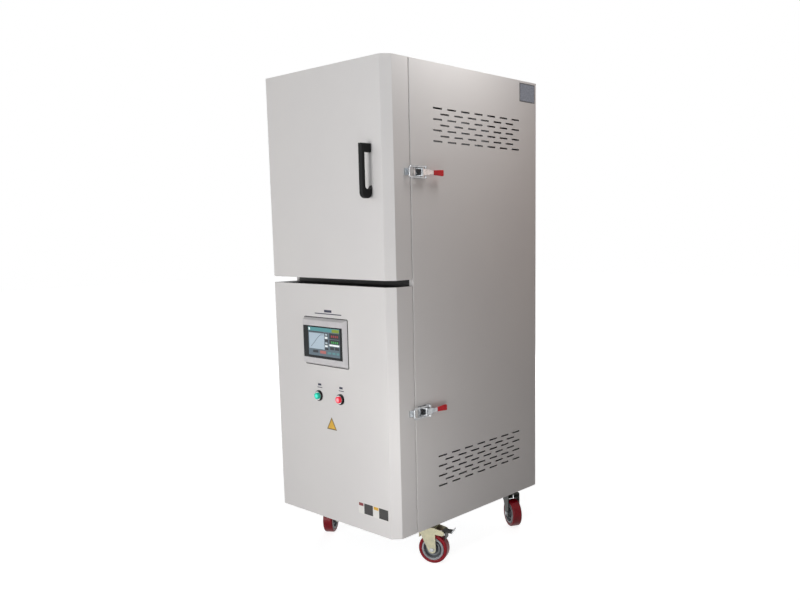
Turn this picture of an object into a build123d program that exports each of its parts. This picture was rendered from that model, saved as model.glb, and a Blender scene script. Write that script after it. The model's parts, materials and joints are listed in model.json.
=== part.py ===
"""Floor-standing muffle furnace: a two-door sheet-steel cabinet on four swivel casters.

The front faces -Y, +X is to the right of someone who stands before it and +Z is up. The origin is
on the floor under the middle of the cabinet's width and depth. All sizes are in millimetres.
"""
import os

from build123d import *

os.makedirs("parts", exist_ok=True)

# Cabinet, measured over its sheet metal
width = 563
depth = 724
roof_space = 90
sheet = 2
bend_radius = 3
panel_fold = 16
cover_lip = 5

# Doors
door_depth = 91.5
door_gap = 2.5
door_corner = 24.3
door_flange = 18
split_rise = 787
split_gap = 20

# Gaps between pieces that move past or turn in each other
running_clearance = 0.05
working_gap = 0.3

# Furnace chamber and its insulation
chamber_width = 240
chamber_height = 240
chamber_depth = 320
side_insulation = 110
floor_insulation = 125
roof_insulation = 110
back_insulation = 110
case_rail_width = 40
case_rail_height = 84
mouth_depth = 28
mouth_relief = 3
mouth_face_margin = 44
plug_clearance = 6
plug_end_gap = 2
plug_taper = 3
seal_inset = 6
seal_width = 16
hearth_thickness = 12
hearth_margin = 12

# Heating elements, thermocouple and exhaust
element_radius = 4
element_leg_spacing = 50
element_wall_gap = 12
element_floor_gap = 45
element_pitch = 130
element_hole_clearance = 1
terminal_radius = 10
terminal_length = 16
element_tail = 12
thermocouple_radius = 4
thermocouple_reach = 22
thermocouple_below_roof = 40
thermocouple_head_radius = 22
thermocouple_head_length = 34
thermocouple_head_rounding = 5.5
thermocouple_flange_radius = 30
thermocouple_flange_thickness = 4
exhaust_bore_radius = 16
exhaust_wall = 4
exhaust_rise = 38
exhaust_flange_radius = 38
exhaust_flange_thickness = 3

# Side vents: rows of slots, with every second row set half a pitch along
vent_slot_length = 40
vent_slot_height = 5
vent_column_pitch = 65
vent_row_pitch = 16.3
vent_columns = 7
vent_rows = 7
vent_setback = 313.8
upper_vent_drop = 181.3
lower_vent_rise = 176

# Base, deck, component bay and the parts in it
base_thickness = 3
base_flange = 40
tray_corner = 6
deck_flange = 25
bay_side_margin = 66
bay_bottom_margin = 60
bay_top_margin = 60
component_plate_setback = 58
component_plate_width = 360
component_plate_height = 600
component_plate_foot = 40
contactor_x = -140
contactor_rise = 465
contactor_width = 70
contactor_depth = 60
contactor_height = 90
contactor_cap_width = 54
contactor_cap_depth = 34
contactor_cap_height = 60
terminal_rise = 285
terminal_rail_length = 260
terminal_rail_width = 35
terminal_rail_depth = 8
terminal_count = 12
terminal_pitch = 14
terminal_block_depth = 40
terminal_block_height = 46
regulator_x = 110
regulator_rise = 465
regulator_width = 110
regulator_length = 170
regulator_base_depth = 8
regulator_fin_depth = 45
regulator_fin_thickness = 3
regulator_fin_count = 9
regulator_case_depth = 34
regulator_case_taper = 5
transformer_x = -90
transformer_setback = 150
transformer_width = 150
transformer_depth = 60
transformer_height = 130
transformer_limb = 26
transformer_coil_depth = 96
gland_x = -180
gland_rise = 98
gland_bore_radius = 7
gland_body_radius = 11
gland_hex_radius = 16
gland_hex_length = 8
gland_dome_radius = 14
gland_dome_length = 20
gland_dome_taper = 8

# Operator panel on the lower door
panel_centre_x = -19.7
panel_drop = 184.3
panel_width = 209
panel_height = 154
panel_rise = 16
panel_taper = 25
panel_housing_width = 186
panel_housing_height = 132
panel_housing_depth = 42
glass_width = 191.5
glass_height = 104
glass_thickness = 2
glass_recess = 3

# Push buttons on the lower door
button_drop = 364
button_places = {"green": -64.5, "red": 41}
button_cap_radius = 11
button_ring_radius = 14
button_collar_radius = 17.2
button_barrel_radius = 13
button_barrel_length = 16
button_nut_length = 6
button_collar_rise = 4.5
button_ring_rise = 8
button_cap_rise = 14
button_cap_length = 26
button_cap_rounding = 2
contact_block_width = 28
contact_block_height = 36
contact_block_depth = 34

# Bridge handle on the upper door
handle_x = 207.4
handle_centre_rise = 319.5
handle_length = 157
handle_width = 16
handle_rise = 39
handle_thickness = 11
handle_foot = 25
handle_outer_radius = 17
handle_inner_radius = 12
handle_edge_rounding = 3

# Door hinges on the left side
hinge_offset = 8
hinge_pin_radius = 3
hinge_pin_head_radius = 5
hinge_pin_head_length = 3
hinge_barrel_radius = 7
hinge_leaf_thickness = 3
hinge_leaf_width = 33
hinge_length = 90
hinge_edge_distance = 70

# Toggle latches on the right side
upper_latch_rise = 317
lower_latch_rise = 387
latch_pivot_setback = 32
latch_pivot_rise = 15.5
latch_pin_radius = 2.5
latch_eye_radius = 5
hook_pivot_reach = 18
hook_rise = 13.3
hook_side_gap = 1.5
hook_rod_radius = 2.5
hook_bar_reach = 19
hook_bend_radius = 6
latch_base_thickness = 2.5
latch_base_front = 22
latch_base_back = 30
latch_ear_thickness = 2
latch_ear_width = 24
lever_cheek_thickness = 2
lever_half_height = 9
lever_side_gap = 0.5
lever_length = 88
lever_channel_length = 27
lever_strip_half_height = 6
lever_tongue_setback = 6
grip_length = 40
grip_neck_height = 14
grip_end_height = 19
grip_neck_depth = 7
grip_end_depth = 10
grip_rounding = 3
keeper_lip_rise = 10
keeper_lip_thickness = 3
keeper_half_height = 10
keeper_foot = 18

# Casters
caster_height = 132
caster_inset_side = 51
caster_inset_front = 84
caster_inset_rear = 92
caster_plate_length = 95
caster_plate_width = 67
caster_plate_thickness = 3
caster_plate_corner = 6
caster_bolt_spacing_x = 45
caster_bolt_spacing_y = 74
caster_bolt_radius = 4
caster_bolt_head_radius = 7
caster_bolt_head_length = 5
raceway_radius = 27
raceway_depth = 6
kingpin_radius = 6
kingpin_head_radius = 10
kingpin_head_length = 4
crown_thickness = 4
crown_radius = 28
caster_trail = 32
leg_thickness = 3
leg_top_width = 56
leg_top_lead = 14
leg_top_depth = 10
leg_boss_radius = 13
fork_web_thickness = 3
fork_web_depth = 32
wheel_diameter = 98
wheel_width = 34
wheel_side_gap = 2.5
tyre_thickness = 12
tyre_rounding = 5
hub_rim_thickness = 6
hub_web = 14
hub_boss_radius = 12
hub_ring_radius = 21
hub_ring_width = 5
hub_ring_thickness = 23
axle_radius = 4
axle_nut_radius = 7
axle_nut_length = 5
brake_pivot_reach = 66
brake_pivot_height = 106
brake_pin_radius = 3
brake_eye_radius = 6
brake_ear_radius = 8
brake_pedal_half_width = 15
brake_pedal_reach = 98
brake_pedal_drop = 2
brake_lip_lean = 3
brake_lip_rise = 8
brake_plate_radius = 1.5
brake_shoe_setback = 9
brake_shoe_drop = 20
caster_trail_angles = {"front_left": -56, "front_right": 23, "rear_left": 140, "rear_right": -30}

# Places that follow from the sizes above
right = width / 2
door_front = -depth / 2
door_back = door_front + door_depth
body_front = door_back + door_gap
body_back = depth / 2
body_middle = (body_front + body_back) / 2
fold_back = body_back - sheet
inner_front = body_front + sheet
inner_back = fold_back - sheet
inner_middle = (inner_front + inner_back) / 2
inner_depth = inner_back - inner_front
inner_width = width - 2 * sheet
split_height = caster_height + split_rise
lower_door_top = split_height - split_gap / 2
upper_door_bottom = split_height + split_gap / 2
base_top = caster_height + base_thickness

case_bottom = split_height + case_rail_height
insulation_bottom = case_bottom + sheet
chamber_bottom = insulation_bottom + floor_insulation
chamber_centre_height = chamber_bottom + chamber_height / 2
chamber_top = chamber_bottom + chamber_height
insulation_top = chamber_top + roof_insulation
insulation_middle_height = (insulation_bottom + insulation_top) / 2
insulation_height = insulation_top - insulation_bottom
case_top = insulation_top + sheet
height = case_top + roof_space
panel_top = height - cover_lip
chamber_back = body_front + chamber_depth
mouth_back = inner_front + mouth_depth
mouth_width = chamber_width + 2 * mouth_relief
mouth_height = chamber_height + 2 * mouth_relief
mouth_face_width = chamber_width + 2 * mouth_face_margin
mouth_face_height = chamber_height + 2 * mouth_face_margin
chamber_middle = (mouth_back + chamber_back) / 2
chamber_run = chamber_back - mouth_back
insulation_width = chamber_width + 2 * side_insulation
insulation_back = chamber_back + back_insulation
case_back = insulation_back + sheet
case_width = insulation_width + 2 * sheet

vent_heights = (height - upper_vent_drop, caster_height + lower_vent_rise)

element_x = chamber_width / 2 - element_wall_gap - element_radius
element_places = [
    (side * element_x, chamber_middle + end * element_pitch / 2) for side in (-1, 1) for end in (-1, 1)
]
leg_offset = element_leg_spacing / 2
element_leg_places = [(x, y + end * leg_offset) for x, y in element_places for end in (-1, 1)]
element_bend_height = chamber_bottom + element_floor_gap
element_top = case_top + terminal_length + element_tail
thermocouple_height = chamber_top - thermocouple_below_roof
exhaust_radius = exhaust_bore_radius + exhaust_wall

bay_bottom = caster_height + bay_bottom_margin
bay_top = lower_door_top - bay_top_margin
component_plate_back = body_back - component_plate_setback
component_plate_front = component_plate_back - sheet
contactor_place_height = base_top + contactor_rise
terminal_place_height = base_top + terminal_rise
regulator_place_height = base_top + regulator_rise
gland_height = caster_height + gland_rise

panel_centre_height = lower_door_top - panel_drop
button_height = lower_door_top - button_drop
handle_height = upper_door_bottom + handle_centre_rise

hinge_x = -right - hinge_offset
hinge_y = door_back + door_gap / 2
hinge_bottoms = {
    "upper": (upper_door_bottom + hinge_edge_distance, height - hinge_edge_distance - hinge_length),
    "lower": (caster_height + hinge_edge_distance, lower_door_top - hinge_edge_distance - hinge_length),
}

latch_x = right + latch_pivot_rise
latch_y = body_front + latch_pivot_setback
hook_x = right + hook_rise
hook_y = latch_y + hook_pivot_reach
hook_bar_y = body_front - hook_bar_reach
ear_inner = lever_half_height + lever_side_gap
ear_outer = ear_inner + latch_ear_thickness
hook_rod_height = ear_outer + hook_side_gap + hook_rod_radius
latch_half_height = hook_rod_height + hook_rod_radius
grip_start = latch_y + lever_length - grip_length
lever_end = latch_y + lever_length
latch_heights = {
    "upper": upper_door_bottom + upper_latch_rise,
    "lower": caster_height + lower_latch_rise,
}

kingpin_x = right - caster_inset_side
kingpins = {
    "front_left": (-kingpin_x, body_front + caster_inset_front),
    "front_right": (kingpin_x, body_front + caster_inset_front),
    "rear_left": (-kingpin_x, body_back - caster_inset_rear),
    "rear_right": (kingpin_x, body_back - caster_inset_rear),
}
caster_plate_bottom = caster_height - caster_plate_thickness
raceway_bottom = caster_plate_bottom - raceway_depth
crown_top = raceway_bottom - working_gap
crown_bottom = crown_top - crown_thickness
axle_height = wheel_diameter / 2
leg_inner = wheel_width / 2 + wheel_side_gap
leg_outer = leg_inner + leg_thickness
leg_top_centre = leg_top_width / 2 - leg_top_lead


def save(name, *solids):
    """Label one finished piece and write it to its own STEP file."""
    piece = solids[0] if len(solids) == 1 else Compound(children=list(solids))
    piece.label = name
    export_step(piece, f"parts/{name}.step")


def front_plane(y):
    """A sketch plane that faces the front at depth y, with X to the right and Z up."""
    return Plane.XZ.offset(-y)


def back_plane(x, y, z):
    """A sketch plane through a point that faces the back, with X to the right and Z down."""
    return Plane(origin=(x, y, z), x_dir=(1, 0, 0), z_dir=(0, 1, 0))


def folded_strip(points):
    """A sheet's cross-section: a line with rounded bends, thickened to the left of its run."""
    with BuildSketch() as strip:
        with BuildLine():
            FilletPolyline(*points, radius=bend_radius)
            offset(amount=sheet, side=Side.LEFT)
        make_face()
    return strip.sketch


def make_base_and_deck():
    """The bottom tray with its caster bolt holes, and the deck between the two sections."""
    with BuildPart() as base_pan:
        with BuildSketch(Plane.XY.offset(caster_height)):
            with Locations((0, inner_middle)):
                RectangleRounded(inner_width, inner_depth, tray_corner)
        extrude(amount=base_flange)
        offset(amount=-base_thickness, openings=base_pan.faces().sort_by(Axis.Z)[-1])
        with BuildSketch(Plane.XY.offset(caster_height)):
            with Locations(*kingpins.values()):
                with GridLocations(caster_bolt_spacing_x, caster_bolt_spacing_y, 2, 2):
                    Circle(caster_bolt_radius + running_clearance)
        extrude(amount=base_thickness, mode=Mode.SUBTRACT)
    save("base_pan", base_pan.part)

    with BuildPart() as deck:
        with BuildSketch(Plane.XY.offset(split_height)):
            with Locations((0, inner_middle)):
                RectangleRounded(inner_width, inner_depth, tray_corner)
        extrude(amount=-deck_flange)
        offset(amount=-sheet, openings=deck.faces().sort_by(Axis.Z)[0])
    save("deck_panel", deck.part)


def vent_field():
    """One field of vent slots, drawn about its own centre."""
    with BuildSketch() as slots:
        with GridLocations(vent_column_pitch, 2 * vent_row_pitch, vent_columns, (vent_rows + 1) // 2):
            Rectangle(vent_slot_length, vent_slot_height)
        with GridLocations(vent_column_pitch, 2 * vent_row_pitch, vent_columns - 1, vent_rows // 2):
            Rectangle(vent_slot_length, vent_slot_height)
    return slots.sketch


def make_side_panels():
    """The two side skins, folded inward at the front and the back, with two vent fields each."""
    fold_x = right - panel_fold
    fold_points = [(fold_x, body_front), (right, body_front), (right, fold_back), (fold_x, fold_back)]
    with BuildPart() as side_panel:
        with BuildSketch(Plane.XY.offset(caster_height)):
            add(folded_strip(fold_points))
        extrude(amount=panel_top - caster_height)
        with BuildSketch(Plane.YZ.offset(right)):
            for vent_height in vent_heights:
                with Locations((body_back - vent_setback, vent_height)):
                    add(vent_field())
        extrude(amount=-sheet, mode=Mode.SUBTRACT)
    save("right_side_panel", side_panel.part)
    save("left_side_panel", mirror(side_panel.part, about=Plane.YZ))


def make_front_frame():
    """The dark sheet behind the doors, with windows for the furnace mouth and the component bay."""
    with BuildPart() as front_frame:
        with BuildSketch(front_plane(inner_front)):
            with Locations((0, (caster_height + panel_top) / 2)):
                Rectangle(width - 2 * panel_fold, panel_top - caster_height)
            with Locations((0, chamber_centre_height)):
                Rectangle(mouth_face_width, mouth_face_height, mode=Mode.SUBTRACT)
            with Locations((0, (bay_bottom + bay_top) / 2)):
                Rectangle(width - 2 * bay_side_margin, bay_top - bay_bottom, mode=Mode.SUBTRACT)
        extrude(amount=sheet)
    save("front_frame", front_frame.part)


def make_rear_panel():
    """The flat back sheet, with the hole for the cable gland."""
    with BuildPart() as rear_panel:
        with BuildSketch(front_plane(body_back)):
            with Locations((0, (caster_height + panel_top) / 2)):
                Rectangle(width, panel_top - caster_height)
            with Locations((gland_x, gland_height)):
                Circle(gland_body_radius + running_clearance, mode=Mode.SUBTRACT)
        extrude(amount=sheet)
    save("rear_panel", rear_panel.part)


def make_top_cover():
    """A shallow lid whose lip stands on the panels, with the hole for the exhaust tube."""
    with BuildPart() as top_cover:
        with BuildSketch(Plane.XY.offset(panel_top)):
            with Locations((0, body_middle)):
                Rectangle(width, body_back - body_front)
        extrude(amount=cover_lip)
        offset(amount=-sheet, openings=top_cover.faces().sort_by(Axis.Z)[0])
        with BuildSketch(Plane.XY.offset(height)):
            with Locations((0, chamber_middle)):
                Circle(exhaust_radius + running_clearance)
        extrude(amount=-sheet, mode=Mode.SUBTRACT)
    save("top_cover", top_cover.part)


def roof_holes():
    """The holes that pass the heating elements and the exhaust tube, drawn in plan."""
    with BuildSketch() as holes:
        with Locations(*element_leg_places):
            Circle(element_radius + element_hole_clearance)
        with Locations((0, chamber_middle)):
            Circle(exhaust_radius + running_clearance)
    return holes.sketch


def make_furnace_case():
    """The steel box round the insulation, open at the front, on two rails that stand on the deck."""
    case_run = case_back - inner_front
    case_middle = (case_back + inner_front) / 2
    with BuildPart() as end_plates:
        for plate_height in (case_bottom, insulation_top):
            with BuildSketch(Plane.XY.offset(plate_height)):
                with Locations((0, case_middle)):
                    Rectangle(case_width, case_run)
            extrude(amount=sheet)
        with BuildSketch(Plane.XY.offset(case_top)):
            add(roof_holes())
        extrude(amount=-sheet, mode=Mode.SUBTRACT)
    with BuildPart() as side_plates:
        with BuildSketch(Plane.XY.offset(insulation_bottom)):
            for side in (-1, 1):
                with Locations((side * (insulation_width + sheet) / 2, case_middle)):
                    Rectangle(sheet, case_run)
        extrude(amount=insulation_height)
    with BuildPart() as back_plate:
        with BuildSketch(front_plane(case_back)):
            with Locations((0, insulation_middle_height)):
                Rectangle(insulation_width, insulation_height)
            with Locations((0, thermocouple_height)):
                Circle(thermocouple_radius + running_clearance, mode=Mode.SUBTRACT)
        extrude(amount=sheet)
    with BuildPart() as rails:
        with BuildSketch(Plane.XY.offset(split_height)):
            for side in (-1, 1):
                with Locations((side * (case_width - case_rail_width) / 2, case_middle)):
                    Rectangle(case_rail_width, case_run)
        extrude(amount=case_rail_height)
    plates = [end_plates, side_plates, back_plate, rails]
    save("furnace_case", *[solid for plate in plates for solid in plate.part.solids()])


def make_insulation():
    """Boards round the chamber, the block behind it and the stepped ring round its mouth."""
    with BuildPart() as floor_board:
        with BuildSketch(Plane.XY.offset(insulation_bottom)):
            with Locations((0, chamber_middle)):
                Rectangle(insulation_width, chamber_run)
        extrude(amount=floor_insulation)
    with BuildPart() as roof_board:
        with BuildSketch(Plane.XY.offset(chamber_top)):
            with Locations((0, chamber_middle)):
                Rectangle(insulation_width, chamber_run)
            add(roof_holes(), mode=Mode.SUBTRACT)
        extrude(amount=roof_insulation)
    with BuildPart() as side_boards:
        with BuildSketch(Plane.XY.offset(chamber_bottom)):
            for side in (-1, 1):
                with Locations((side * (chamber_width + side_insulation) / 2, chamber_middle)):
                    Rectangle(side_insulation, chamber_run)
        extrude(amount=chamber_height)
    save("chamber_insulation", floor_board.part, roof_board.part, *side_boards.part.solids())

    with BuildPart() as back_block:
        with BuildSketch(front_plane(insulation_back)):
            with Locations((0, insulation_middle_height)):
                Rectangle(insulation_width, insulation_height)
            with Locations((0, thermocouple_height)):
                Circle(thermocouple_radius + running_clearance, mode=Mode.SUBTRACT)
        extrude(amount=back_insulation)
    save("rear_insulation", back_block.part)

    with BuildPart() as mouth:
        with BuildSketch(front_plane(mouth_back)):
            with Locations((0, insulation_middle_height)):
                Rectangle(insulation_width, insulation_height)
        extrude(amount=mouth_depth)
        with BuildSketch(front_plane(inner_front)):
            with Locations((0, chamber_centre_height)):
                Rectangle(mouth_face_width, mouth_face_height)
        extrude(amount=sheet)
        with BuildSketch(front_plane(mouth_back)):
            with Locations((0, chamber_centre_height)):
                Rectangle(mouth_width, mouth_height)
        extrude(amount=mouth_depth + sheet, mode=Mode.SUBTRACT)
    save("muffle_mouth", mouth.part)

    with BuildPart() as hearth:
        with BuildSketch(Plane.XY.offset(chamber_bottom)):
            with Locations((0, chamber_middle)):
                Rectangle(chamber_width - 2 * hearth_margin, chamber_run - 2 * hearth_margin)
        extrude(amount=hearth_thickness)
        fillet(hearth.edges().filter_by(Axis.Z), radius=hearth_margin)
    save("hearth_plate", hearth.part)


def make_heating_elements():
    """Four U-shaped elements that hang through the roof, each leg held by its terminal bush."""
    elements = []
    for x, y in element_places:
        front_leg = y - leg_offset
        back_leg = y + leg_offset
        bend = element_bend_height
        with BuildPart() as element:
            with BuildLine():
                Line((x, front_leg, element_top), (x, front_leg, bend))
                ThreePointArc((x, front_leg, bend), (x, y, bend - leg_offset), (x, back_leg, bend))
                Line((x, back_leg, bend), (x, back_leg, element_top))
            with BuildSketch(Plane(origin=(x, front_leg, element_top), z_dir=(0, 0, -1))):
                Circle(element_radius)
            sweep()
        elements.append(element.part)
    with BuildPart() as terminals:
        with BuildSketch(Plane.XY.offset(case_top)):
            with Locations(*element_leg_places):
                Circle(terminal_radius)
            with Locations(*element_leg_places):
                Circle(element_radius + running_clearance, mode=Mode.SUBTRACT)
        extrude(amount=terminal_length)
    save("heating_elements", *elements, *terminals.part.solids())


def make_thermocouple():
    """A ceramic sheath through the rear insulation, with its flange and connection head."""
    with BuildPart() as thermocouple:
        with BuildSketch(back_plane(0, chamber_back - thermocouple_reach, thermocouple_height)):
            Circle(thermocouple_radius)
        extrude(amount=case_back - chamber_back + thermocouple_reach)
        with BuildSketch(back_plane(0, case_back, thermocouple_height)):
            Circle(thermocouple_flange_radius)
        extrude(amount=thermocouple_flange_thickness)
        with BuildSketch(back_plane(0, case_back + thermocouple_flange_thickness, thermocouple_height)):
            Circle(thermocouple_head_radius)
        extrude(amount=thermocouple_head_length)
        fillet(thermocouple.edges().sort_by(Axis.Y)[-1], radius=thermocouple_head_rounding)
    save("thermocouple", thermocouple.part)


def make_exhaust():
    """The chimney tube from the chamber's roof through the cover, with a flange on top of it."""
    with BuildPart() as exhaust:
        with BuildSketch(Plane.XY.offset(chamber_top)):
            with Locations((0, chamber_middle)):
                Circle(exhaust_radius)
        extrude(amount=height + exhaust_rise - chamber_top)
        with BuildSketch(Plane.XY.offset(height)):
            with Locations((0, chamber_middle)):
                Circle(exhaust_flange_radius)
        extrude(amount=exhaust_flange_thickness)
        with BuildSketch(Plane.XY.offset(chamber_top)):
            with Locations((0, chamber_middle)):
                Circle(exhaust_bore_radius)
        extrude(amount=height + exhaust_rise - chamber_top, mode=Mode.SUBTRACT)
    save("exhaust_tube", exhaust.part)


def make_component_plate():
    """The folded plate in the component bay that carries the electrical parts."""
    top = base_top + component_plate_height
    foot = component_plate_back - component_plate_foot
    fold_points = [(foot, base_top), (component_plate_back, base_top), (component_plate_back, top)]
    with BuildPart() as component_plate:
        with BuildSketch(Plane.YZ.offset(-component_plate_width / 2)):
            add(folded_strip(fold_points))
        extrude(amount=component_plate_width)
    save("component_plate", component_plate.part)


def mains_contactor():
    """The mains contactor: a base with a narrower cap in front of it."""
    with BuildPart() as contactor:
        with BuildSketch(front_plane(component_plate_front)):
            with Locations((contactor_x, contactor_place_height)):
                Rectangle(contactor_width, contactor_height)
        extrude(amount=contactor_depth)
        with BuildSketch(front_plane(component_plate_front - contactor_depth)):
            with Locations((contactor_x, contactor_place_height)):
                Rectangle(contactor_cap_width, contactor_cap_height)
        extrude(amount=contactor_cap_depth)
    return contactor.part


def terminal_block():
    """A rail with a row of clamps on it."""
    with BuildPart() as block:
        with BuildSketch(front_plane(component_plate_front)):
            with Locations((0, terminal_place_height)):
                Rectangle(terminal_rail_length, terminal_rail_width)
        extrude(amount=terminal_rail_depth)
        with BuildSketch(front_plane(component_plate_front - terminal_rail_depth)):
            with Locations((0, terminal_place_height)):
                with GridLocations(terminal_pitch, 1, terminal_count, 1):
                    Rectangle(terminal_pitch - sheet, terminal_block_height)
        extrude(amount=terminal_block_depth)
    return block.part


def make_switchgear():
    """The contactor and the terminal block on the component plate."""
    save("switchgear", mains_contactor(), terminal_block())


def make_power_regulator():
    """The power regulator: a finned heat sink on the plate with its case in front."""
    fin_step = (regulator_width - regulator_fin_thickness) / (regulator_fin_count - 1)
    fin_front = component_plate_front - regulator_fin_depth
    base_front = fin_front - regulator_base_depth
    with BuildPart() as regulator:
        with BuildSketch(front_plane(component_plate_front)):
            with Locations((regulator_x, regulator_place_height)):
                with GridLocations(fin_step, 1, regulator_fin_count, 1):
                    Rectangle(regulator_fin_thickness, regulator_length)
        extrude(amount=regulator_fin_depth)
        with BuildSketch(front_plane(fin_front)):
            with Locations((regulator_x, regulator_place_height)):
                Rectangle(regulator_width, regulator_length)
        extrude(amount=regulator_base_depth)
        with BuildSketch(front_plane(base_front)):
            with Locations((regulator_x, regulator_place_height)):
                Rectangle(regulator_width, regulator_length)
        extrude(amount=regulator_case_depth, taper=regulator_case_taper)
    save("power_regulator", regulator.part)


def make_transformer():
    """The low-voltage transformer on the base pan: a windowed core and the coil on its middle limb."""
    middle_y = component_plate_front - transformer_setback
    place = back_plane(transformer_x, middle_y, base_top + transformer_height / 2)
    window_width = (transformer_width - 3 * transformer_limb) / 2
    window_height = transformer_height - 2 * transformer_limb
    half_depth = transformer_depth / 2
    coil_width = transformer_width - 2 * transformer_limb
    coil_overhang = (transformer_coil_depth - transformer_depth) / 2
    window_offset = (window_width + transformer_limb) / 2
    with BuildPart() as core:
        with BuildSketch(place):
            Rectangle(transformer_width, transformer_height)
            with Locations((-window_offset, 0), (window_offset, 0)):
                Rectangle(window_width, window_height, mode=Mode.SUBTRACT)
        extrude(amount=half_depth, both=True)
    with BuildPart() as coil:
        with BuildSketch(place):
            Rectangle(coil_width, window_height)
            Rectangle(transformer_limb, window_height, mode=Mode.SUBTRACT)
        extrude(amount=half_depth, both=True)
        with BuildSketch(place.offset(half_depth), place.offset(-half_depth)):
            Rectangle(coil_width, window_height)
        extrude(amount=coil_overhang, both=True)
        with BuildSketch(place):
            Rectangle(transformer_limb, window_height)
        extrude(amount=half_depth, both=True, mode=Mode.SUBTRACT)
    save("transformer", core.part, coil.part)


def make_cable_gland():
    """The gland for the mains lead, clamped in the rear panel by its hexagon and its nut."""
    with BuildPart() as gland:
        with BuildSketch(back_plane(gland_x, body_back, gland_height)):
            RegularPolygon(gland_hex_radius, 6)
        extrude(amount=gland_hex_length)
        with BuildSketch(back_plane(gland_x, body_back + gland_hex_length, gland_height)):
            Circle(gland_dome_radius)
        extrude(amount=gland_dome_length, taper=gland_dome_taper)
        with BuildSketch(front_plane(body_back)):
            with Locations((gland_x, gland_height)):
                Circle(gland_body_radius)
        extrude(amount=sheet)
        with BuildSketch(front_plane(fold_back)):
            with Locations((gland_x, gland_height)):
                RegularPolygon(gland_hex_radius, 6)
        extrude(amount=gland_hex_length)
        with BuildSketch(front_plane(body_back + gland_hex_length + gland_dome_length)):
            with Locations((gland_x, gland_height)):
                Circle(gland_bore_radius)
        extrude(amount=2 * gland_hex_length + gland_dome_length + sheet, mode=Mode.SUBTRACT)
    save("cable_gland", gland.part)


def door_inside():
    """The plan outline of the space inside a door's shell."""
    left = -right
    with BuildSketch() as inside:
        with BuildLine():
            FilletPolyline(
                (left, door_back),
                (left, door_front),
                (right - door_corner, door_front),
                (right, door_front + door_corner),
                (right, door_back),
                radius=bend_radius,
                close=True,
            )
        make_face()
        offset(amount=-sheet)
    return inside.sketch


def door_shell(bottom, top):
    """A door's painted skin: front, sides, cut-off front corner and the narrow folds at the back."""
    left = -right
    fold_points = [
        (left + door_flange, door_back),
        (left, door_back),
        (left, door_front),
        (right - door_corner, door_front),
        (right, door_front + door_corner),
        (right, door_back),
        (right - door_flange, door_back),
    ]
    with BuildPart() as shell:
        with BuildSketch(Plane.XY.offset(bottom)):
            add(folded_strip(fold_points))
        extrude(amount=top - bottom)
    return shell.part


def door_pan(bottom, top):
    """A door's dark inner pan: its back wall and the plates that close the shell's two ends."""
    with BuildPart() as pan:
        with BuildSketch(Plane.XY.offset(bottom)):
            add(door_inside())
        extrude(amount=top - bottom)
        with BuildSketch(Plane.XY.offset(bottom + sheet)):
            with Locations((0, -sheet)):
                add(door_inside())
        extrude(amount=top - bottom - 2 * sheet, mode=Mode.SUBTRACT)
    return pan.part


def make_upper_door():
    """The furnace door: skin, pan, insulation, tapered plug and the seal round it."""
    save("upper_door_shell", door_shell(upper_door_bottom, height))
    save("upper_door_pan", door_pan(upper_door_bottom, height))

    with BuildPart() as filling:
        with BuildSketch(Plane.XY.offset(upper_door_bottom + sheet)):
            add(door_inside())
            with Locations((0, -sheet)):
                add(door_inside(), mode=Mode.INTERSECT)
        extrude(amount=height - upper_door_bottom - 2 * sheet)
    save("upper_door_insulation", filling.part)

    pan_face = door_back - sheet
    with BuildPart() as plug:
        with BuildSketch(back_plane(0, pan_face, chamber_centre_height)):
            Rectangle(mouth_width - 2 * plug_clearance, mouth_height - 2 * plug_clearance)
        extrude(amount=mouth_back - plug_end_gap - pan_face, taper=plug_taper)
    save("upper_door_plug", plug.part)

    seal_inner_width = mouth_width + 2 * seal_inset
    seal_inner_height = mouth_height + 2 * seal_inset
    with BuildPart() as seal:
        with BuildSketch(back_plane(0, pan_face, chamber_centre_height)):
            Rectangle(seal_inner_width + 2 * seal_width, seal_inner_height + 2 * seal_width)
            Rectangle(seal_inner_width, seal_inner_height, mode=Mode.SUBTRACT)
        extrude(amount=body_front - working_gap - pan_face)
        fillet(seal.edges().filter_by(Axis.Y), radius=seal_inset)
    save("upper_door_seal", seal.part)


def make_handle():
    """The moulded bridge handle: a grip on two feet, rounded outside, with a finger gap behind it."""
    side_plane = Plane.YZ.offset(handle_x)
    with BuildPart() as handle:
        with BuildSketch(side_plane) as profile:
            with Locations((door_front - handle_rise / 2, handle_height)):
                Rectangle(handle_rise, handle_length)
            fillet(profile.vertices().group_by(Axis.Y)[0], radius=handle_outer_radius)
        extrude(amount=handle_width / 2, both=True)
        side_edges = handle.faces().filter_by(Axis.X).edges()
        free_edges = side_edges.filter_by(lambda edge: edge.center().Y < door_front - working_gap)
        fillet(free_edges, radius=handle_edge_rounding)
        with BuildSketch(side_plane) as finger_gap:
            with Locations((door_front - (handle_rise - handle_thickness) / 2, handle_height)):
                Rectangle(handle_rise - handle_thickness, handle_length - 2 * handle_foot)
            fillet(finger_gap.vertices().group_by(Axis.Y)[0], radius=handle_inner_radius)
        extrude(amount=handle_width / 2, both=True, mode=Mode.SUBTRACT)
    save("door_handle", handle.part)


def make_lower_door():
    """The component bay's door, cut out for the operator panel and the two buttons."""
    with BuildPart() as shell:
        add(door_shell(caster_height, lower_door_top))
        with BuildSketch(front_plane(door_front)):
            with Locations((panel_centre_x, panel_centre_height)):
                Rectangle(panel_housing_width, panel_housing_height)
            with Locations(*[(x, button_height) for x in button_places.values()]):
                Circle(button_barrel_radius + running_clearance)
        extrude(amount=-sheet, mode=Mode.SUBTRACT)
    save("lower_door_shell", shell.part)
    save("lower_door_pan", door_pan(caster_height, lower_door_top))


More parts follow.
